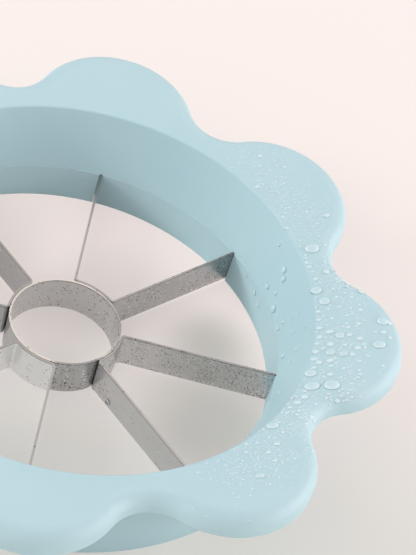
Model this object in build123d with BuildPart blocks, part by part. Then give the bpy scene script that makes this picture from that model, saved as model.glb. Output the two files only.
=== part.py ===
# Apple slicer: a flower-shaped plastic ring that is pushed down over an apple. Its inner wall holds a star of
# eight thin steel blades round a core ring. Nothing on it moves.
#
# Millimetres, +Z up. The origin is the centre of the foot ring's flat underside, where the slicer stands.
# The star is four formed strips, each bent from one blade round an eighth of the core ring into the next blade.
import os
from math import asin, atan2, cos, degrees, radians, sin, sqrt

from build123d import *

os.makedirs("parts", exist_ok=True)

# ---------------------------------------------------------------- driving dimensions
# pattern
petal_count = 8  # one petal over each blade
first_blade_angle = 90.0  # degrees from +X, the blade that points along +Y
petal_turn = 0.8  # degrees that the petals stand round from the blades, anticlockwise from above

# inner wall: a funnel above the blades, and the blade ring's band beside them
wall_radius = 48.0  # lower edge of the funnel
funnel_flare = 5.0  # the funnel opens by this much at its upper edge, where the flange starts
funnel_height = 14.2
ledge_step = 0.2  # the blade ring stands this far inside the funnel's lower edge
ledge_chamfer = 0.1  # along the ledge, which catches the light as a thin line
band_draft = 0.2  # the band narrows by this much on its way down
mouth_edge_radius = 0.5

# petals
valley_width = 7.4  # width of the flange at the hollow between two petals
petal_reach = 12.3  # the petals' tips stand this far outside the hollows
valley_arc = 10.2  # radius of the hollow
crown_rise = 2.4  # the flange domes up by this much from the mouth to the tips
rim_depth = 6.0  # from the top of a petal's tip to the lower edge of its rim
rim_top_radius = 3.4
rim_bottom_radius = 0.7

# moulded walls and ribs
flange_wall = 2.4
rim_wall = 2.0
funnel_wall = 2.3
collar_wall = 2.2
rib_wall = 1.6
rib_drop = 4.5  # how far a rib reaches down the collar below the rim's lower edge
rib_bite = 0.6  # how far a rib runs into the walls that it joins

# blade ring
ring_wall = 5.2
ring_fit = 0.15  # radial clearance between the ring and the body's collar
foot_height = 1.2  # lip under the collar
peg_radius = 0.9
peg_length = 4.5
peg_margin = 0.7  # wall left outside each peg
peg_fit = 0.08
peg_chamfer = 0.3
boss_arc = 7.0  # degrees of solid wall left round each peg's socket

# steel star
core_radius = 12.5  # outside of the core ring
core_wall = 0.5
core_height = 9.0
core_lift = 0.1  # its cutting edge stands this far above the table
seam_gap = 0.2
strip_wall = 0.5
strip_lift = 0.3  # the strips' cutting edges stand this far above the core ring's
core_bend_radius = 0.8  # middle of the strip, where a blade leaves the core ring
weld_gap = 0.1  # between the core ring and the strip welded to it
bevel_height = 1.6
bevel_width = 0.2  # taken off each side of a cutting edge

# keyed ends of the strips
hook_depth = 3.1  # the hook's leg stands this far into the blade ring
hook_bend_radius = 0.8
hook_leg = 1.8
slot_fit = 0.1
tab_floor = 1.9  # the hooks stand on this

# ---------------------------------------------------------------- derived sizes
pitch = 360.0 / petal_count
half_pitch = pitch / 2
blade_angles = [first_blade_angle - k * pitch for k in range(petal_count)]
gap_angles = [angle - half_pitch for angle in blade_angles]
pair_angles = gap_angles[::2]  # the middle of each strip
petal_angles = [angle + petal_turn for angle in blade_angles]
valley_angles = [angle + petal_turn for angle in gap_angles]

mouth_radius = wall_radius + funnel_flare
valley_radius = mouth_radius + valley_width
tip_radius = valley_radius + petal_reach
band_height = core_lift + core_height  # from the table to the top of the blades
mouth_height = band_height + funnel_height
crown_height = mouth_height + crown_rise
rim_height = crown_height - rim_depth
outer_reach = tip_radius + valley_arc  # beyond everything

# the petal and the hollow beside it are arcs that touch
hollow_centre = valley_radius + valley_arc
hollow_along = hollow_centre * cos(radians(half_pitch))
hollow_across = hollow_centre * sin(radians(half_pitch))
petal_arc = (tip_radius**2 + hollow_centre**2 - 2 * tip_radius * hollow_along - valley_arc**2) / (
    2 * (tip_radius - hollow_along + valley_arc)
)
petal_centre = tip_radius - petal_arc
touch_angle = degrees(atan2(hollow_across, hollow_along - petal_centre))

crown_radius = ((tip_radius - mouth_radius) ** 2 + crown_rise**2) / (2 * crown_rise)

band_top_radius = wall_radius - ledge_step
band_foot_radius = band_top_radius - band_draft
ring_radius = band_top_radius + ring_wall  # outside of the blade ring
collar_inner = ring_radius + ring_fit
collar_outer = collar_inner + collar_wall
funnel_slope = funnel_flare / funnel_height

peg_circle_radius = ring_radius - peg_margin - peg_radius
hook_radius = band_top_radius + hook_depth
blade_end_radius = hook_radius - hook_bend_radius  # a blade is straight up to here


def crown_at(radius, sunk=0.0):
    """Height of the flange's domed surface, or of one sunk below it, at a radius."""
    return crown_height - crown_radius + sqrt((crown_radius - sunk) ** 2 - (tip_radius - radius) ** 2)


def petal_outline(inset=0.0):
    """Face inside the petals' outline, inset from the outer edge."""
    with BuildSketch() as outline:
        with BuildLine():
            for angle in petal_angles:
                petal = (petal_centre * cos(radians(angle)), petal_centre * sin(radians(angle)))
                CenterArc(petal, petal_arc - inset, angle - touch_angle, 2 * touch_angle)
                valley = angle + half_pitch
                hollow = (hollow_centre * cos(radians(valley)), hollow_centre * sin(radians(valley)))
                start = angle + 180 + touch_angle
                CenterArc(hollow, valley_arc + inset, start, 2 * (half_pitch - touch_angle))
        make_face()
    return outline.sketch


def crown_section(sunk=0.0):
    """Half section below the domed surface, from the axis out to beyond the petals."""
    inner = (mouth_radius, crown_at(mouth_radius, sunk))
    tip = (tip_radius, crown_at(tip_radius, sunk))
    with BuildSketch() as section:
        with BuildLine():
            RadiusArc(inner, tip, crown_radius - sunk)
            Polyline(tip, (outer_reach, tip[1]), (outer_reach, 0), (0, 0), (0, inner[1]), inner)
        make_face()
    return section.sketch


def strip_path(extra=0.0):
    """Middle line of one strip, seen from above, with the middle of its core arc on the sketch's +X axis.

    extra lengthens the hooks' legs.
    """
    arc_radius = core_radius + weld_gap + strip_wall / 2
    lead = degrees(asin(core_bend_radius / (arc_radius + core_bend_radius)))
    blade_end = (blade_end_radius * cos(radians(half_pitch)), blade_end_radius * sin(radians(half_pitch)))
    with BuildLine() as path:
        core_arc = CenterArc((0, 0), arc_radius, 0, half_pitch - lead)
        bend = JernArc(core_arc @ 1, core_arc % 1, core_bend_radius, lead - 90)
        blade = Line(bend @ 1, blade_end)
        hook = JernArc(blade @ 1, blade % 1, hook_bend_radius, -90)
        PolarLine(hook @ 1, hook_leg + extra, direction=hook % 1)
        mirror(about=Plane.XZ)
    return path.line


# ---------------------------------------------------------------- flower body
# Hollow under the petals, between the rim and the collar.
with BuildPart() as petal_hollow:
    with BuildSketch(Plane.XY):
        add(petal_outline(rim_wall))
    extrude(amount=crown_height)
    with BuildSketch(Plane.XZ):
        add(crown_section(flange_wall))
    revolve(mode=Mode.INTERSECT)
    with BuildSketch(Plane.XY):
        Circle(collar_outer)
    extrude(amount=crown_height, mode=Mode.SUBTRACT)

# Ribs between the collar and the rim, under each petal and under each hollow between petals.
with BuildPart() as petal_ribs:
    for angle in petal_angles + valley_angles:
        root = collar_outer - rib_bite
        end = (tip_radius if angle in petal_angles else valley_radius) - rim_wall + rib_bite
        with BuildSketch(Plane.XZ.rotated((0, 0, angle))):
            Polygon(
                (root, rim_height - rib_drop),
                (collar_outer, rim_height - rib_drop),
                (end, rim_height + rim_bottom_radius),
                (end, crown_at(end, flange_wall - rib_bite)),
                (root, crown_at(root, flange_wall - rib_bite)),
                align=None,
            )
        extrude(amount=rib_wall / 2, both=True)

# The body is cut from a domed flower blank, hollowed, and joined to the funnel and collar.
with BuildPart() as flower_body:
    with BuildSketch(Plane.XY.offset(rim_height)):
        add(petal_outline())
    extrude(amount=rim_depth)
    with BuildSketch(Plane.XZ):
        add(crown_section())
    revolve(mode=Mode.INTERSECT)
    rim_bottom_edges = flower_body.faces().sort_by(Axis.Z)[0].edges()
    fillet(rim_bottom_edges, rim_bottom_radius)
    fillet(flower_body.edges().group_by(Axis.Z)[-1], rim_top_radius)
    add(petal_hollow.part, mode=Mode.SUBTRACT)
    add(petal_ribs.part)
    # funnel and collar
    with BuildSketch(Plane.XZ):
        Polygon(
            (wall_radius, band_height),
            (mouth_radius, mouth_height),
            (collar_outer, crown_at(collar_outer, flange_wall / 2)),
            (collar_outer, foot_height),
            (collar_inner, foot_height),
            (collar_inner, band_height),
            align=None,
        )
    revolve()
    # opening for the apple
    with BuildSketch(Plane.XZ):
        Polygon(
            (0, 0),
            (wall_radius, 0),
            (wall_radius, band_height),
            (mouth_radius, mouth_height),
            (mouth_radius + funnel_slope * crown_rise, mouth_height + crown_rise),
            (0, mouth_height + crown_rise),
            align=None,
        )
    revolve(mode=Mode.SUBTRACT)
    circles = flower_body.edges().filter_by(GeomType.CIRCLE)
    fillet(circles.sort_by_distance((mouth_radius, 0, mouth_height))[0], mouth_edge_radius)
    # wedge-shaped cavities between the funnel and the collar, closed below by the blade ring
    funnel_back = wall_radius + funnel_wall
    cavity_top = band_height + (collar_inner - funnel_back) / funnel_slope
    cavity_arc = pitch - boss_arc
    for angle in blade_angles:
        with BuildSketch(Plane.XZ.rotated((0, 0, angle - cavity_arc / 2))):
            Polygon(
                (funnel_back, band_height),
                (collar_inner, band_height),
                (collar_inner, cavity_top),
                align=None,
            )
        revolve(revolution_arc=cavity_arc, mode=Mode.SUBTRACT)
    # sockets for the blade ring's pegs
    with BuildSketch(Plane.XY.offset(band_height)):
        with PolarLocations(peg_circle_radius, petal_count, start_angle=gap_angles[0]):
            Circle(peg_radius + peg_fit)
    extrude(amount=peg_length + peg_chamfer, mode=Mode.SUBTRACT)

flower_body.part.label = "flower_body"
export_step(flower_body.part, "parts/flower_body.step")

# ---------------------------------------------------------------- blade ring
# Pressed into the collar from below. Keyed slots hold the strips' hooked ends, pegs go up into the body's
# sockets, and the foot under the collar stands on the table.
slot_width = strip_wall + 2 * slot_fit

with BuildPart() as blade_ring:
    with BuildSketch(Plane.XZ):
        Polygon(
            (band_foot_radius, 0),
            (collar_outer, 0),
            (collar_outer, foot_height),
            (ring_radius, foot_height),
            (ring_radius, band_height),
            (band_top_radius + ledge_chamfer, band_height),
            (band_top_radius, band_height - ledge_chamfer),
            align=None,
        )
    revolve()
    # pockets of the hooks, with a floor
    for angle in pair_angles:
        with BuildSketch(Plane.XY.offset(tab_floor).rotated((0, 0, angle))):
            trace(strip_path(slot_fit), slot_width)
        extrude(amount=band_height - tab_floor, mode=Mode.SUBTRACT)
    # throats of the slots, open below
    throat_start = band_foot_radius - slot_width
    throat_length = blade_end_radius + slot_fit - throat_start
    with BuildSketch(Plane.XY):
        with PolarLocations(throat_start + throat_length / 2, petal_count, start_angle=first_blade_angle):
            Rectangle(throat_length, slot_width)
    extrude(amount=band_height, mode=Mode.SUBTRACT)
    # pegs
    with BuildSketch(Plane.XY.offset(band_height)):
        with PolarLocations(peg_circle_radius, petal_count, start_angle=gap_angles[0]):
            Circle(peg_radius)
    extrude(amount=peg_length)
    chamfer(blade_ring.faces().sort_by(Axis.Z)[-petal_count:].edges(), peg_chamfer)

blade_ring.part.label = "blade_ring"
export_step(blade_ring.part, "parts/blade_ring.step")

# ---------------------------------------------------------------- core ring
# Steel strip rolled into a ring, its butt seam behind the third blade strip, sharpened along its lower edge.
with BuildPart() as core_ring:
    with BuildSketch(Plane.XY.offset(band_height - core_height)):
        Circle(core_radius)
        Circle(core_radius - core_wall, mode=Mode.SUBTRACT)
    extrude(amount=core_height)
    underside = core_ring.faces().sort_by(Axis.Z)[0]
    cutting_edge = underside.edges().sort_by(SortBy.RADIUS)[0]
    chamfer(cutting_edge, bevel_width, bevel_height, reference=underside)
    with BuildSketch(Plane.XY.rotated((0, 0, pair_angles[2]))):
        with Locations((core_radius - core_wall / 2, 0)):
            Rectangle(2 * core_wall, seam_gap)
    extrude(amount=band_height, mode=Mode.SUBTRACT)

core_ring.part.label = "core_ring"
export_step(core_ring.part, "parts/core_ring.step")

# ---------------------------------------------------------------- blade strips
# Each strip is sharpened along its lower edge. Its ends are cut short where they stand on the pockets' floors.
strip_foot = core_lift + strip_lift
blade_root = core_radius + strip_wall + core_bend_radius

for number, angle in enumerate(pair_angles, start=1):
    with BuildPart() as strip:
        with BuildSketch(Plane.XY.offset(strip_foot).rotated((0, 0, angle))):
            trace(strip_path(), strip_wall)
        extrude(amount=band_height - strip_foot)
        with BuildSketch(Plane.XY):
            Circle(outer_reach)
            Circle(blade_end_radius, mode=Mode.SUBTRACT)
        extrude(amount=tab_floor, mode=Mode.SUBTRACT)
        for blade_angle in (angle + half_pitch, angle - half_pitch):
            with BuildSketch(Plane.YZ.rotated((0, 0, blade_angle)).offset(blade_root)):
                Polygon(
                    (strip_wall / 2 - bevel_width, strip_foot),
                    (strip_wall, strip_foot),
                    (strip_wall / 2, strip_foot + bevel_height),
                    align=None,
                )
                mirror(about=Plane.YZ)
            extrude(amount=blade_end_radius - blade_root, mode=Mode.SUBTRACT)
    strip.part.label = f"blade_strip_{number}"
    export_step(strip.part, f"parts/blade_strip_{number}.step")
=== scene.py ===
import math
import random

import bpy
from mathutils import Matrix, Vector
from mathutils.bvhtree import BVHTree


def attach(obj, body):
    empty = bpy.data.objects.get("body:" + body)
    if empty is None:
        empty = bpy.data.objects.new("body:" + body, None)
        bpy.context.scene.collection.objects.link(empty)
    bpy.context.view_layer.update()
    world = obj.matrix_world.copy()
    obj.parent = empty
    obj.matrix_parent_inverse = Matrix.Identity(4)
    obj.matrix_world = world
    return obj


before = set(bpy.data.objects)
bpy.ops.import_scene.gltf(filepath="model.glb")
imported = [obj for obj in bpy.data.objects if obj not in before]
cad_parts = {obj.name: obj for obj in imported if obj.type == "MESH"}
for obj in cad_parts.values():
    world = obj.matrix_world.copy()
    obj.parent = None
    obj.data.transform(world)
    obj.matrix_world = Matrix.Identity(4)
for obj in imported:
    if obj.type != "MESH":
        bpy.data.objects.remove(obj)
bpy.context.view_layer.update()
MM = 0.001

# -------------------------------------------------------------------------------------- camera
# A long lens looks down on the right-hand side of the ring from the front, rolled so that the ring leans
# left. Its azimuth, like the lamps', is anticlockwise from the front.
CAMERA_AIM = Vector((27.825, 10.802, 22.41)) * MM
CAMERA_DISTANCE = 502.87 * MM
CAMERA_AZIMUTH = math.radians(-5.498)
CAMERA_ELEVATION = math.radians(45.231)
CAMERA_ROLL = math.radians(18.341)
LENS = 148.84
SENSOR = 36.0  # its long side
NEAREST_SEEN, FARTHEST_SEEN = 0.01, 20.0  # metres


def direction(azimuth, elevation):
    """Unit vector away from the slicer, azimuth in radians anticlockwise from the front."""
    flat = math.cos(elevation)
    return Vector((math.sin(azimuth) * flat, -math.cos(azimuth) * flat, math.sin(elevation)))


def look_along(viewer, back):
    """Turns a camera or lamp so that it looks against the vector back."""
    viewer.rotation_euler = (-back).to_track_quat("-Z", "Y").to_euler()


camera_data = bpy.data.cameras.new("camera")
camera_data.lens = LENS
camera_data.sensor_width = SENSOR
camera_data.clip_start = NEAREST_SEEN
camera_data.clip_end = FARTHEST_SEEN
camera = bpy.data.objects.new("camera", camera_data)
bpy.context.scene.collection.objects.link(camera)
camera_back = direction(CAMERA_AZIMUTH, CAMERA_ELEVATION)
camera.location = CAMERA_AIM + camera_back * CAMERA_DISTANCE
look_along(camera, camera_back)
rolled_over = camera.rotation_euler.to_matrix() @ Matrix.Rotation(CAMERA_ROLL, 3, "Z")
camera.rotation_euler = rolled_over.to_euler()
bpy.context.scene.camera = camera
bpy.context.scene.view_settings.view_transform = "Standard"

# -------------------------------------------------------------------------------------- studio
# A white card under soft lamps, rosy at the back, with painted shade at the front and pools of painted
# shadow inside the ring. It takes the ring's shadow, and shows brighter to the camera and in what mirrors it
# than the lamps alone would make it.
FLOOR_SIZE = 3.0  # metres
FLOOR_CARD = "#f2f2ec"
FLOOR_BACK = "#fff0ee"
# painted shade: the grey that the card darkens to at the front
FLOOR_FRONT = "#dddbd8"
FLOOR_FRONT_Y, FLOOR_BACK_Y = -45.0, 33.0  # where the front and the back tone are reached
FLOOR_OWN_LIGHT = 0.6  # share of its brightness that doesn't depend on the lamps, for what looks at it
# painted shadow: the tone at the middle of the pools below
FLOOR_PAINTED_SHADOW = "#aca8a4"
# pools of painted shadow of the ring on the card
FLOOR_PAINTED_SHADOWS = (  # place, reach of the full shade, where it ends, and its strength
    ((33.3, 11.9), 1.3, 14.9, 0.9),
    ((37.6, -10.0), 1.9, 23.8, 1.0),
    ((3.0, -40.0), 14.0, 31.8, 0.27),
    ((0.7, 5.9), 6.7, 17.7, 0.37),
    ((-30.0, 26.3), 0.8, 30.0, 0.42),
    ((10.9, 19.1), 5.1, 23.0, 0.29),
)
ROOM_TINT = "#f8f0f0"
ROOM_LIGHT = 0.665
LAMP_DISTANCE = 0.9  # metres


def colour(text, light=1.0):
    """Linear RGBA of an sRGB hex value, its light scaled."""
    channels = [int(text[i : i + 2], 16) / 255 for i in (1, 3, 5)]
    linear = [c / 12.92 if c <= 0.04045 else ((c + 0.055) / 1.055) ** 2.4 for c in channels]
    return (*[c * light for c in linear], 1.0)


def new_material(name):
    """An empty node material and its tree."""
    material = bpy.data.materials.new(name)
    material.use_nodes = True
    material.node_tree.nodes.clear()
    return material, material.node_tree


def add_node(tree, kind, inputs=None, **settings):
    """A shader node with its settings and its inputs, each a value or the output that is linked into it."""
    made = tree.nodes.new("ShaderNode" + kind)
    for name, value in settings.items():
        setattr(made, name, value)
    for name, value in (inputs or {}).items():
        if isinstance(value, bpy.types.NodeSocket):
            tree.links.new(value, made.inputs[name])
        else:
            made.inputs[name].default_value = value
    return made


def white_card():
    """Matt white card with some light of its own. It is clear from below, so that the foot and the ribs
    can be looked at."""
    material, tree = new_material("matt_white_card")
    place = add_node(tree, "TexCoord").outputs["Object"]
    backwards = add_node(tree, "SeparateXYZ", {0: place}).outputs["Y"]
    # painted shade: the card darkens from the back towards the front
    depth = add_node(
        tree,
        "MapRange",
        {"Value": backwards, "From Min": FLOOR_FRONT_Y * MM, "From Max": FLOOR_BACK_Y * MM},
        interpolation_type="SMOOTHSTEP",
    )
    tone = add_node(
        tree,
        "Mix",
        {0: depth.outputs[0], 6: colour(FLOOR_FRONT), 7: colour(FLOOR_BACK)},
        data_type="RGBA",
    )
    # painted shadow of the ring, in soft pools inside the mouth and inside the core
    for (x, y), full, none, strength in FLOOR_PAINTED_SHADOWS:
        away = add_node(tree, "VectorMath", {0: place, 1: Vector((x, y, 0.0)) * MM}, operation="DISTANCE")
        pool = add_node(
            tree,
            "MapRange",
            {
                "Value": away.outputs["Value"],
                "From Min": full * MM,
                "From Max": none * MM,
                "To Min": strength,
                "To Max": 0.0,
            },
            interpolation_type="SMOOTHSTEP",
        )
        tone = add_node(
            tree,
            "Mix",
            {0: pool.outputs[0], 6: tone.outputs[2], 7: colour(FLOOR_PAINTED_SHADOW)},
            data_type="RGBA",
        )
    card = add_node(tree, "BsdfDiffuse", {"Color": colour(FLOOR_CARD), "Roughness": 1.0})
    glow = add_node(tree, "Emission", {"Color": tone.outputs[2], "Strength": 1.0})
    path = add_node(tree, "LightPath").outputs
    seen = add_node(tree, "Math", {0: path["Is Camera Ray"], 1: path["Is Glossy Ray"]}, operation="MAXIMUM")
    seen = add_node(tree, "Math", {0: seen.outputs[0], 1: path["Is Transmission Ray"]}, operation="MAXIMUM")
    share = add_node(tree, "Math", {0: seen.outputs[0], 1: FLOOR_OWN_LIGHT}, operation="MULTIPLY")
    lit = add_node(tree, "MixShader", {0: share.outputs[0], 1: card.outputs[0], 2: glow.outputs[0]})
    below = add_node(tree, "NewGeometry").outputs["Backfacing"]
    clear = add_node(tree, "BsdfTransparent")
    surface = add_node(tree, "MixShader", {0: below, 1: lit.outputs[0], 2: clear.outputs[0]})
    add_node(tree, "OutputMaterial", {"Surface": surface.outputs[0]})
    return material


def soft_lamp(name, azimuth, elevation, size, power, tint="#ffffff"):
    """Square lamp that looks at the ring from an azimuth and elevation in degrees, its size in metres."""
    back = direction(math.radians(azimuth), math.radians(elevation))
    data = bpy.data.lights.new(name, "AREA")
    data.size = size
    data.energy = power
    data.color = colour(tint)[:3]
    lamp = bpy.data.objects.new(name, data)
    bpy.context.scene.collection.objects.link(lamp)
    lamp.location = back * LAMP_DISTANCE
    look_along(lamp, back)


bpy.ops.object.select_all(action="DESELECT")
bpy.ops.mesh.primitive_plane_add(size=FLOOR_SIZE, location=(0, 0, 0))
floor = bpy.context.object
floor.name = "tabletop"
floor.data.materials.append(white_card())

world = bpy.data.worlds.new("studio")
bpy.context.scene.world = world
world.use_nodes = True
background = world.node_tree.nodes["Background"]
background.inputs["Color"].default_value = colour(ROOM_TINT)
background.inputs["Strength"].default_value = ROOM_LIGHT

soft_lamp("key_softbox", azimuth=-85, elevation=25, size=0.25, power=3.2)
soft_lamp("low_window", azimuth=95, elevation=12, size=0.8, power=7.4, tint="#fff6f5")
soft_lamp("front_fill", azimuth=-50, elevation=35, size=0.8, power=1.5)
soft_lamp("back_rim", azimuth=160, elevation=45, size=0.55, power=1.0)

# -------------------------------------------------------------------------------------- flower body
# One moulding in pale blue polypropylene: the petals, the funnel the apple goes into, and the collar
# under them.
BODY_BLUE = "#b9d7de"
BODY_BLUE_SHADE = "#b1d1d9"
PLASTIC_ROUGHNESS = (0.44, 0.54)
FLOW_MARKS_PER_MM = 0.045  # one every 22 mm
GRAINS_PER_MM = 3.2  # spark-eroded mould texture, about 0.3 mm
GRAIN_DEPTH = 0.05
LIGHT_SINKS = 2.0  # how deep light sinks into the plastic


def satin_polypropylene(name):
    """Moulded polypropylene: satin, slightly waxy, light sinks in a little. Its colour has faint marks of
    the flow."""
    material, tree = new_material(name)
    place = add_node(tree, "TexCoord").outputs["Object"]
    clouds = add_node(
        tree,
        "TexNoise",
        {"Vector": place, "Scale": FLOW_MARKS_PER_MM / MM, "Detail": 3.0, "Roughness": 0.55},
    ).outputs["Fac"]
    tint = add_node(
        tree, "Mix", {0: clouds, 6: colour(BODY_BLUE), 7: colour(BODY_BLUE_SHADE)}, data_type="RGBA"
    )
    grain = add_node(
        tree, "TexNoise", {"Vector": place, "Scale": GRAINS_PER_MM / MM, "Detail": 2.0, "Roughness": 0.6}
    )
    bump = add_node(
        tree, "Bump", {"Height": grain.outputs["Fac"], "Strength": 0.12, "Distance": GRAIN_DEPTH * MM}
    )
    gloss = add_node(
        tree, "MapRange", {"Value": clouds, "To Min": PLASTIC_ROUGHNESS[0], "To Max": PLASTIC_ROUGHNESS[1]}
    )
    surface = add_node(
        tree,
        "BsdfPrincipled",
        {
            "Base Color": tint.outputs[2],
            "Roughness": gloss.outputs[0],
            "Normal": bump.outputs[0],
            "IOR": 1.49,
            "Subsurface Weight": 0.12,
            "Subsurface Radius": (0.5, 0.9, 1.0),
            "Subsurface Scale": LIGHT_SINKS * MM,
        },
    )
    add_node(tree, "OutputMaterial", {"Surface": surface.outputs[0]})
    return material


def dress(node, material):
    """Gives a frame node one material, in every slot."""
    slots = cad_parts[node].data.materials
    slots.clear()
    slots.append(material)


polypropylene = satin_polypropylene("satin_polypropylene")
dress("flower_body", polypropylene)

# -------------------------------------------------------------------------------------- blade ring
# Pressed into the collar from below, in the same plastic. It is the darker band beside the blades. Two scars
# of its moulding are left: a gate on the ledge at the blades' top, and a sliver of flash on the lower edge.
dress("blade_ring", polypropylene)
MOULDING_SCARS = (  # name, degrees from +X, radius, height, and size through the wall, along it and up
    ("gate_scar", 98.3, 47.95, 9.2, (0.45, 1.0, 0.6)),
    ("flash_scar", 33.6, 47.62, 0.4, (0.3, 2.2, 0.7)),
)


def finish_piece(piece, material):
    """Smooth shading, material, and the piece hung under the root body's empty."""
    piece.data.polygons.foreach_set("use_smooth", [True] * len(piece.data.polygons))
    piece.data.materials.append(material)
    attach(piece, "root")


for name, degrees, radius, height, size in MOULDING_SCARS:
    bpy.ops.object.select_all(action="DESELECT")
    bpy.ops.mesh.primitive_ico_sphere_add(subdivisions=3, radius=0.5)
    scar = bpy.context.object
    scar.name = name
    azimuth = math.radians(degrees)
    centre = Vector((radius * math.cos(azimuth), radius * math.sin(azimuth), height)) * MM
    facing_out = Matrix.Translation(centre) @ Matrix.Rotation(azimuth, 4, "Z")
    scar.data.transform(facing_out @ Matrix.Diagonal((*[s * MM for s in size], 1.0)))
    finish_piece(scar, polypropylene)

# -------------------------------------------------------------------------------------- core ring
# Stainless steel strip, cold rolled and bent round. Its surface is speckled with a fine spray of water,
# which gets thicker towards the outer ends of the two blades on the wet side.
STEEL_LIGHT = "#d9dada"
STEEL_DARK = "#c6c7c7"
STEEL_ROUGHNESS = (0.24, 0.36)
ROLLING_LINES_PER_MM = (0.06, 0.06, 5.0)  # 0.2 mm apart, and 17 mm long
ROLLING_DEPTH = 0.02
MIRRORED_ALONG = {"X": 0.05, "Y": 0.03, "Z": 1.0}  # the lines spread what they mirror upwards and downwards
RING_MIDDLE = 12.25  # radius between the core ring's two faces
# painted shade: the core ring's outer face made darker than its inner one
RING_OUTSIDE_PAINTED_SHADE = 0.83
STRIP_TOP = 9.1  # upper edge of the ring and the blades
EDGE_LINE = 0.3  # reach of the dark line below it
EDGE_LINE_STRENGTH = 0.8
# painted shade just below the steel's upper edge
PAINTED_EDGE_SHADE = "#6d6b69"
RING_SHEARED_EDGE = "#cec8bf"
LOOKS_UP = 0.7  # the sheared edge's normal has at least this much of it upwards
WET_EDGE = "#939292"  # the sheared edge under the spray
WET_FROM, WET_TO = 0.25, 0.55  # amounts of spray between which the edge darkens
SPRAYED = (  # place, reach and amount of the spray
    ((45.0, 2.0, 5.0), 26.0, 1.4),
    ((24.0, 6.0, 5.0), 22.0, 1.0),
    ((33.0, 33.0, 5.0), 22.0, 1.1),
    ((5.5, -11.5, 5.0), 8.0, 1.3),
)
RING_SPRAY = 0.25  # amount elsewhere on the core ring
SPRAY_PATCHES_PER_MM = 0.26  # one every 4 mm
PATCH_NOISE = (0.35, 0.65)  # values of the patches' noise that mean the least and the most spray
PATCH_SPRAY = (0.25, 1.3)  # the spray there, as a share of the amount
SPECKS_PER_MM = 3.1  # at most, as each cell of the pattern holds one or none
SPECK_STRETCH = (0.7, 0.7, 1.0)
SPECK_SIZES = (0.2, 0.45)  # shares of a cell
SPECK = "#3d3f40"
SPECK_STRENGTH = 0.92
SPECK_GLINT = "#ffffff"  # a speck that catches the light instead
GLINTS = 0.3  # their share


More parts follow.
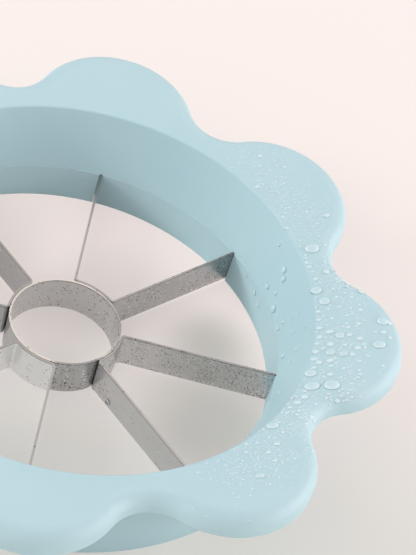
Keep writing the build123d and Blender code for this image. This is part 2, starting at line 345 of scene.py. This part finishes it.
def rolled_stainless(name, sheared_edge, spray_elsewhere, tone=1.0, outside_painted_shade=1.0):
    """Cold-rolled stainless steel: close reflections, fine rolling lines along the strip, pale sheared edges
    with a line of painted shade under them, dark specks of spray. tone scales how bright the sheet is beside
    the core ring's inside, which paints reflections on the strips, and the last argument darkens the ring's
    outer face as painted shade."""
    material, tree = new_material(name)
    place = add_node(tree, "TexCoord").outputs["Object"]
    # lines along the strip: the noise changes fast upwards and slowly sideways
    stretch = [lines_per_mm / MM for lines_per_mm in ROLLING_LINES_PER_MM]
    stretched = add_node(tree, "Mapping", {"Vector": place, "Scale": stretch})
    lines = add_node(
        tree,
        "TexNoise",
        {"Vector": stretched.outputs[0], "Scale": 1.0, "Detail": 3.0, "Roughness": 0.6},
    ).outputs["Fac"]
    shade = add_node(
        tree,
        "Mix",
        {0: lines, 6: colour(STEEL_LIGHT, tone), 7: colour(STEEL_DARK, tone)},
        data_type="RGBA",
    )
    # painted shade: darker beyond the core ring's middle radius, on its outer face
    flat = add_node(tree, "VectorMath", {0: place, 1: (1.0, 1.0, 0.0)}, operation="MULTIPLY")
    radius = add_node(tree, "VectorMath", {0: flat.outputs[0]}, operation="LENGTH").outputs["Value"]
    outside = add_node(tree, "Math", {0: radius, 1: RING_MIDDLE * MM}, operation="GREATER_THAN")
    outside_shade = add_node(tree, "MapRange", {"Value": outside.outputs[0], "To Min": 1.0, "To Max": outside_painted_shade})
    shade = add_node(
        tree, "VectorMath", {0: shade.outputs[2], 1: outside_shade.outputs[0]}, operation="MULTIPLY"
    )
    # painted shade: a dark line just below the upper edge
    rolled = add_node(
        tree,
        "MapRange",
        {
            "Value": add_node(tree, "SeparateXYZ", {0: place}).outputs["Z"],
            "From Min": (STRIP_TOP - EDGE_LINE) * MM,
            "From Max": (STRIP_TOP - EDGE_LINE / 2) * MM,
            "To Max": EDGE_LINE_STRENGTH,
        },
    )
    shade = add_node(
        tree, "Mix", {0: rolled.outputs[0], 6: shade.outputs[0], 7: colour(PAINTED_EDGE_SHADE)}, data_type="RGBA"
    )
    # how thick the spray lies here
    amount = None
    for centre, reach, most in SPRAYED:
        away = add_node(tree, "VectorMath", {0: place, 1: Vector(centre) * MM}, operation="DISTANCE")
        near = add_node(
            tree,
            "MapRange",
            {
                "Value": away.outputs["Value"],
                "From Min": 0.0,
                "From Max": reach * MM,
                "To Min": most,
                "To Max": spray_elsewhere,
            },
        )
        if amount is None:
            amount = near
        else:
            amount = add_node(tree, "Math", {0: amount.outputs[0], 1: near.outputs[0]}, operation="MAXIMUM")
    # the sheared face itself, which looks up: pale where it is dry, dark under the spray
    wet = add_node(tree, "MapRange", {"Value": amount.outputs[0], "From Min": WET_FROM, "From Max": WET_TO})
    edge = add_node(
        tree, "Mix", {0: wet.outputs[0], 6: colour(sheared_edge), 7: colour(WET_EDGE)}, data_type="RGBA"
    )
    facing = add_node(tree, "NewGeometry").outputs["Normal"]
    upwards = add_node(tree, "SeparateXYZ", {0: facing}).outputs["Z"]
    sheared = add_node(tree, "Math", {0: upwards, 1: LOOKS_UP}, operation="GREATER_THAN").outputs[0]
    shade = add_node(tree, "Mix", {0: sheared, 6: shade.outputs[2], 7: edge.outputs[2]}, data_type="RGBA")
    # the spray lies in patches
    patches = add_node(
        tree, "TexNoise", {"Vector": place, "Scale": SPRAY_PATCHES_PER_MM / MM, "Detail": 1.0}
    )
    patchy = add_node(
        tree,
        "MapRange",
        {
            "Value": patches.outputs["Fac"],
            "From Min": PATCH_NOISE[0],
            "From Max": PATCH_NOISE[1],
            "To Min": PATCH_SPRAY[0],
            "To Max": PATCH_SPRAY[1],
        },
    )
    amount = add_node(tree, "Math", {0: amount.outputs[0], 1: patchy.outputs[0]}, operation="MULTIPLY")
    # a cell's random colour says whether it has a speck, how large it is, and whether it glints
    drawn_out = add_node(tree, "Mapping", {"Vector": place, "Scale": SPECK_STRETCH})
    cells = add_node(
        tree,
        "TexVoronoi",
        {"Vector": drawn_out.outputs[0], "Scale": SPECKS_PER_MM / MM, "Randomness": 1.0},
    ).outputs
    lot = add_node(tree, "SeparateColor", {"Color": cells["Color"]}).outputs
    drawn = add_node(tree, "Math", {0: lot["Red"], 1: amount.outputs[0]}, operation="LESS_THAN")
    size = add_node(
        tree, "MapRange", {"Value": lot["Green"], "To Min": SPECK_SIZES[0], "To Max": SPECK_SIZES[1]}
    )
    inside = add_node(tree, "Math", {0: cells["Distance"], 1: size.outputs[0]}, operation="LESS_THAN")
    speck = add_node(tree, "Math", {0: drawn.outputs[0], 1: inside.outputs[0]}, operation="MULTIPLY")
    faded = add_node(tree, "Math", {0: speck.outputs[0], 1: SPECK_STRENGTH}, operation="MULTIPLY")
    glints = add_node(tree, "Math", {0: lot["Blue"], 1: GLINTS}, operation="LESS_THAN")
    # the rough sheared face has dark specks only
    glints = add_node(tree, "Math", {0: glints.outputs[0], 1: sheared}, operation="SUBTRACT")
    speck_tone = add_node(
        tree, "Mix", {0: glints.outputs[0], 6: colour(SPECK), 7: colour(SPECK_GLINT)}, data_type="RGBA"
    )
    spotted = add_node(
        tree,
        "Mix",
        {0: faded.outputs[0], 6: shade.outputs[2], 7: speck_tone.outputs[2]},
        data_type="RGBA",
    )
    gloss = add_node(
        tree, "MapRange", {"Value": lines, "To Min": STEEL_ROUGHNESS[0], "To Max": STEEL_ROUGHNESS[1]}
    )
    bump = add_node(tree, "Bump", {"Height": lines, "Strength": 0.1, "Distance": ROLLING_DEPTH * MM})
    spread = add_node(tree, "CombineXYZ", MIRRORED_ALONG)
    surface = add_node(
        tree,
        "BsdfPrincipled",
        {
            "Base Color": spotted.outputs[2],
            "Metallic": 1.0,
            "Roughness": gloss.outputs[0],
            "Anisotropic": 0.75,
            "Tangent": spread.outputs[0],
            "Normal": bump.outputs[0],
        },
    )
    add_node(tree, "OutputMaterial", {"Surface": surface.outputs[0]})
    return material


ring_stainless = rolled_stainless(
    "cold_rolled_stainless", RING_SHEARED_EDGE, RING_SPRAY, outside_painted_shade=RING_OUTSIDE_PAINTED_SHADE
)
dress("core_ring", ring_stainless)

# -------------------------------------------------------------------------------------- blade strips
# Four formed strips in the same steel. Each is spot welded to the core ring in the middle of its arc, which
# leaves a shallow dimple with a raised rim outside.
BLADE_SHEARED_EDGE = "#a19d9a"
BLADE_SPRAY = 0.06  # amount away from the wet side
# painted reflections: each strip made lighter or darker for what its faces mirror
STRIP_PAINTED_REFLECTIONS = (0.82, 1.0, 1.4, 0.75)  # how bright each strip is beside the core ring's inside
FIRST_ARC_MIDDLE = 67.5  # degrees from +X
STRIP_STEP = -90.0  # degrees from one strip to the next
ARC_OUTSIDE = 13.1  # radius of a strip's outer face round the core ring
WELD_HEIGHT = 5.0
WELD_DIAMETER = 1.8
WELD_RIM = 0.12  # half the width of its rim
WELD_FLATNESS = 0.6  # the rim's depth as a share of its width

for number, tone in enumerate(STRIP_PAINTED_REFLECTIONS, start=1):
    stainless = rolled_stainless(f"cold_rolled_stainless_{number}", BLADE_SHEARED_EDGE, BLADE_SPRAY, tone)
    dress(f"blade_strip_{number}", stainless)
    bpy.ops.object.select_all(action="DESELECT")
    bpy.ops.mesh.primitive_torus_add(
        major_radius=WELD_DIAMETER / 2 * MM,
        minor_radius=WELD_RIM * MM,
        major_segments=32,
        minor_segments=8,
    )
    weld = bpy.context.object
    weld.name = f"spot_weld_{number}"
    arc_middle = Matrix.Rotation(math.radians(FIRST_ARC_MIDDLE + STRIP_STEP * (number - 1)), 4, "Z")
    on_arc = arc_middle @ Matrix.Translation((ARC_OUTSIDE * MM, 0, WELD_HEIGHT * MM))
    upright = Matrix.Rotation(math.radians(90), 4, "Y")
    weld.data.transform(on_arc @ upright @ Matrix.Diagonal((1, 1, WELD_FLATNESS, 1)))
    finish_piece(weld, stainless)

# -------------------------------------------------------------------------------------- water
# Rinsing left drops on the wet side: large ones by the mouth's edge and the petals' tips, a fine mist
# between them, a few that hang on the funnel and the blades. Each is a low dome that rests on the surface.
LARGE_DROPS = (  # azimuth in degrees from +X, radius and width, on the petals
    # second petal and the hollow after it
    (50.0, 54.5, 1.0), (56.0, 61.2, 1.1), (50.6, 63.3, 0.9), (38.0, 59.6, 0.9), (35.4, 63.3, 1.3),
    (27.9, 56.0, 3.0), (20.5, 57.0, 1.4), (18.8, 54.3, 1.1), (14.4, 63.5, 1.4), (15.3, 53.7, 2.4),
    (11.8, 55.1, 2.4),
    # third petal: a row along the mouth's edge, a loose field behind it, and a few at the tip
    (8.6, 53.5, 1.0), (6.0, 53.6, 1.1), (3.4, 53.8, 1.3), (0.6, 54.0, 1.3), (-1.6, 53.6, 1.1),
    (-4.2, 53.7, 1.5), (-6.6, 53.8, 1.4), (-9.2, 54.3, 1.1), (-11.2, 54.1, 2.4), (2.5, 56.0, 1.6),
    (1.7, 58.2, 2.0), (2.2, 60.3, 1.3), (1.5, 62.5, 1.4), (5.5, 62.1, 1.1), (-1.2, 56.4, 1.5),
    (-3.6, 56.8, 2.0), (-3.4, 59.6, 1.8), (-3.1, 61.4, 1.3), (-1.1, 62.3, 1.5), (-6.1, 57.1, 1.5),
    (-7.3, 55.0, 1.5), (-10.1, 58.0, 1.3), (6.8, 67.4, 2.4), (6.8, 68.9, 1.5), (4.1, 67.6, 1.3),
    (0.8, 66.8, 2.6), (3.0, 69.0, 1.1), (-4.2, 68.3, 0.9),
    # after it, and the fourth petal
    (-14.9, 55.6, 3.0), (-12.9, 59.3, 3.2), (-18.7, 55.3, 1.6), (-21.1, 54.8, 1.5), (-30.6, 54.2, 2.4),
    (-34.4, 58.1, 1.3), (-38.2, 61.1, 1.1), (-37.5, 58.6, 1.1), (-43.3, 62.4, 1.7),
)  # fmt: skip
FUNNEL_DROPS = (  # azimuth, height above the table and width, on the funnel's wall and the blade ring's
    (34.5, 19.6, 0.9), (28.1, 17.5, 1.6), (26.2, 16.3, 1.5), (29.1, 11.3, 1.3), (32.0, 6.7, 1.3),
    (25.2, 12.6, 1.0), (28.5, 5.6, 1.0), (22.1, 10.4, 1.9), (18.8, 11.1, 0.7), (13.6, 17.4, 0.8),
    (14.3, 14.9, 0.7), (15.5, 12.2, 0.8), (15.3, 10.2, 1.1), (9.4, 15.1, 0.8), (7.4, 19.2, 0.7),
    (9.7, 13.6, 0.6), (37.4, 7.5, 0.7), (2.3, 16.3, 0.8), (4.8, 11.1, 1.3), (0.3, 13.8, 0.8),
    (-10.2, 13.1, 1.2), (-0.9, 12.6, 0.6),
)  # fmt: skip
STEEL_DROPS = (  # strip, place and width, on the blades' faces
    ("blade_strip_2", (13.2, -13.6, 1.9), 1.7), ("blade_strip_2", (13.1, -13.4, 3.6), 0.5),
    ("blade_strip_2", (14.9, -15.2, 2.4), 0.5), ("blade_strip_2", (12.1, -12.5, 3.9), 0.6),
    ("blade_strip_1", (12.8, 12.6, 1.7), 1.2), ("blade_strip_1", (16.6, 16.4, 1.8), 0.6),
    ("blade_strip_1", (16.3, 16.0, 8.0), 0.7), ("blade_strip_1", (17.9, 17.6, 7.6), 0.6),
)  # fmt: skip
MIST_FIELDS = (  # azimuth and radius at the middle, their spreads, drops, smallest and largest width
    (0.0, 53.9, 13.0, 0.5, 220, 0.4, 1.1),
    (0.0, 58.5, 9.0, 3.2, 460, 0.3, 1.1),
    (-15.0, 60.0, 4.0, 4.0, 160, 0.3, 0.8),
    (17.0, 57.5, 3.5, 2.5, 200, 0.3, 0.9),
    (17.6, 60.5, 2.6, 2.4, 300, 0.3, 0.7),
    (-12.5, 62.4, 2.4, 1.5, 190, 0.3, 0.8),
    (-19.0, 55.8, 3.0, 1.2, 160, 0.3, 0.9),
    (38.0, 57.5, 7.0, 3.0, 560, 0.28, 0.7),
    (52.0, 59.5, 6.0, 3.2, 160, 0.28, 0.6),
    (-26.0, 56.0, 6.0, 1.6, 330, 0.3, 0.9),
    (-38.0, 59.0, 8.0, 4.0, 520, 0.28, 0.65),
)
SEED = 7
MIST_FROM = 53.2  # least radius of a mist drop, just outside the mouth's edge
FINENESS = 2.2  # the larger, the more of a field's drops are small
SPACING = 0.54  # least distance between two drops' middles, as a share of both widths together
STEEPEST = 0.6  # least part of the normal upwards under a drop on the petals
ABOVE_ALL = 60.0  # height from which the petals are searched downwards
CONTACT_HEIGHT = 0.2  # height of a drop as a share of its width
SUNK = 0.06  # share of the width that a drop reaches into the surface, so that no gap shows
FULLNESS = 0.8  # power of the dome's outline: 1 is half an ellipse, less is fuller
WOBBLE = (0.92, 1.1)  # limits of a random stretch of a drop's length, which narrows it as much
DRAWN_OUT = Vector((0.91, 0.42, 0.0))  # the slicer was shaken dry this way
DRAWN_LENGTH, DRAWN_WIDTH = 1.13, 0.85  # shares of a drop's width, on the petals
HANGS_DOWN, HANGS_UP = 1.14, 1.06  # stretch of the lower and the upper half of a drop that hangs on a wall
FUNNEL_BULGE = 1.8  # how much farther drops on the funnel stand out
LARGE_MESH = (20, 6)  # points round a drop, and rings of them up to its top
MIST_MESH = (10, 3)
OUTLINE_UP_TO, GATHERS_FROM = 0.05, 0.3  # shares of a drop's height between which its outline ends
GATHERS_UP_TO, CLEAR_FROM = 0.6, 0.95  # and between which its clear middle begins
CLEAR_WIDTH = 1.7  # a smaller drop has a milky middle instead of a clear one
MILKY = 0.68  # how far a small drop's middle goes towards a clear one
WATER_OUTLINE = "#5d98a4"
PETAL_GATHERED = "#e8fcff"
FUNNEL_GATHERED = "#d8f2f5"
WATER_MIDDLE = "#d2eef4"
WATER_GLOSS = "#d2f2f6"  # the gloss takes up some of the plastic's blue
STEEL_OUTLINE = "#55595a"
STEEL_GATHERED = "#eceded"
STEEL_MIDDLE = "#8f9494"


def resting_water(name, gathered, outline=WATER_OUTLINE, clear=WATER_MIDDLE, gloss=WATER_GLOSS):
    """A resting drop: a dark outline where it bends the light away from the eye, a pale ring where it
    gathers the light, and the surface seen through its middle. The attribute rise goes from 0 at the rim to
    1 at the top."""
    material, tree = new_material(name)
    rise = add_node(tree, "Attribute", attribute_name="rise").outputs["Fac"]
    inside = add_node(tree, "MapRange", {"Value": rise, "From Min": OUTLINE_UP_TO, "From Max": GATHERS_FROM})
    rim = add_node(
        tree, "Mix", {0: inside.outputs[0], 6: colour(outline), 7: colour(gathered)}, data_type="RGBA"
    )
    through = add_node(tree, "MapRange", {"Value": rise, "From Min": GATHERS_UP_TO, "From Max": CLEAR_FROM})
    tint = add_node(
        tree, "Mix", {0: through.outputs[0], 6: rim.outputs[2], 7: colour(clear)}, data_type="RGBA"
    )
    surface = add_node(
        tree,
        "BsdfPrincipled",
        {
            "Base Color": tint.outputs[2],
            "Roughness": 0.06,
            "IOR": 1.33,
            "Alpha": 0.78,
            "Specular Tint": colour(gloss),
        },
    )
    add_node(tree, "OutputMaterial", {"Surface": surface.outputs[0]})
    return material


def dome_template(segments, rings):
    """Points, rises and faces of a low dome of width 1, closed below, whose rim turns down into the
    surface."""
    points, faces = [], []
    for ring in range(rings):
        angle = math.pi / 2 * ring / rings
        radius = 0.5 * math.cos(angle) ** FULLNESS
        height = CONTACT_HEIGHT * math.sin(angle) - (SUNK if ring == 0 else 0.0)
        for k in range(segments):
            turn = 2 * math.pi * k / segments
            points.append((radius * math.cos(turn), radius * math.sin(turn), height))
    points.append((0.0, 0.0, CONTACT_HEIGHT))
    top = len(points) - 1
    for ring in range(rings - 1):
        for k in range(segments):
            a, b = ring * segments + k, ring * segments + (k + 1) % segments
            faces.append((a, b, b + segments, a + segments))
    last = (rings - 1) * segments
    for k in range(segments):
        faces.append((last + k, last + (k + 1) % segments, top))
    faces.append(tuple(reversed(range(segments))))
    rises = [max(0.0, point[2]) / CONTACT_HEIGHT for point in points]
    return points, rises, faces


def surface_of(node):
    """Tree of a frame node's faces, for finding where a drop rests."""
    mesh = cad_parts[node].data
    return BVHTree.FromPolygons([v.co for v in mesh.vertices], [p.vertices for p in mesh.polygons])


body_tree = surface_of("flower_body")
ring_tree = surface_of("blade_ring")
chance = random.Random(SEED)


def on_petals(azimuth, radius):
    """Point and normal of the petals' upper face at a place, or None off them and on their steep rims."""
    start = Vector((radius * math.cos(azimuth), radius * math.sin(azimuth), ABOVE_ALL)) * MM
    spot, normal, _, _ = body_tree.ray_cast(start, Vector((0, 0, -1)))
    return None if spot is None or normal.z < STEEPEST else (spot, normal)


def on_funnel(azimuth, height):
    """Point and normal of the inner wall at an azimuth and a height above the table."""
    outwards = Vector((math.cos(azimuth), math.sin(azimuth), 0))
    middle = Vector((0, 0, height)) * MM
    hits = [tree.ray_cast(middle, outwards) for tree in (body_tree, ring_tree)]
    spot, normal, _, _ = min((hit for hit in hits if hit[0]), key=lambda hit: hit[3])
    return spot, normal


def on_strip(strip, place):
    """Point and normal of a blade strip nearest to a place."""
    spot, normal, _, _ = surface_of(strip).find_nearest(Vector(place) * MM)
    return spot, normal


def rest_drops(name, material, seats, mesh_size, hanging=False, bulge=1.0):
    """One piece of drops, each (point, normal, width), turned to the slope that it rests on.

    Hanging drops are stretched down the slope and the others the way the slicer was shaken. bulge raises
    them off it.
    """
    template_points, template_rises, template_faces = dome_template(*mesh_size)
    points, rises, faces = [], [], []
    for spot, normal, width in seats:
        if hanging:
            along = (Vector((0, 0, -1)) + normal * normal.z).normalized()
            ahead, behind, aside = HANGS_DOWN, HANGS_UP, 1.0
        else:
            along = (DRAWN_OUT - normal * DRAWN_OUT.dot(normal)).normalized()
            ahead, behind, aside = DRAWN_LENGTH, DRAWN_LENGTH, DRAWN_WIDTH
        across = normal.cross(along)
        wobble = chance.uniform(*WOBBLE)
        first = len(points)
        for px, py, pz in template_points:
            reach = px * (ahead if px > 0 else behind) * wobble
            offset = along * reach + across * (py * aside / wobble) + normal * pz * bulge
            points.append(spot + offset * width * MM)
        rises += template_rises if width >= CLEAR_WIDTH else [min(rise, MILKY) for rise in template_rises]
        faces += [tuple(first + i for i in face) for face in template_faces]
    mesh = bpy.data.meshes.new(name)
    mesh.from_pydata(points, [], faces)
    mesh.attributes.new("rise", "FLOAT", "POINT").data.foreach_set("value", rises)
    mesh.update()
    piece = bpy.data.objects.new(name, mesh)
    bpy.context.scene.collection.objects.link(piece)
    finish_piece(piece, material)


petal_water = resting_water("water_on_petals", PETAL_GATHERED)
funnel_water = resting_water("water_on_funnel", FUNNEL_GATHERED)
steel_water = resting_water("water_on_steel", STEEL_GATHERED, STEEL_OUTLINE, STEEL_MIDDLE, STEEL_GATHERED)

seats = [(*on_petals(math.radians(azimuth), radius), width) for azimuth, radius, width in LARGE_DROPS]
taken = [(spot, width) for spot, _, width in seats]
rest_drops("drops_large", petal_water, seats, LARGE_MESH)

seats = [(*on_funnel(math.radians(azimuth), height), width) for azimuth, height, width in FUNNEL_DROPS]
rest_drops("drops_funnel", funnel_water, seats, LARGE_MESH, hanging=True, bulge=FUNNEL_BULGE)

seats = [(*on_strip(strip, place), width) for strip, place, width in STEEL_DROPS]
rest_drops("drops_steel", steel_water, seats, LARGE_MESH, hanging=True)

seats = []
for field_azimuth, field_radius, azimuth_spread, radius_spread, count, smallest, largest in MIST_FIELDS:
    for _ in range(count):
        azimuth = math.radians(chance.gauss(field_azimuth, azimuth_spread))
        radius = chance.gauss(field_radius, radius_spread)
        width = smallest + (largest - smallest) * chance.random() ** FINENESS
        seat = on_petals(azimuth, radius) if radius > MIST_FROM else None
        if seat and all((seat[0] - spot).length > (width + other) * SPACING * MM for spot, other in taken):
            seats.append((*seat, width))
            taken.append((seat[0], width))
rest_drops("drops_mist", petal_water, seats, MIST_MESH)
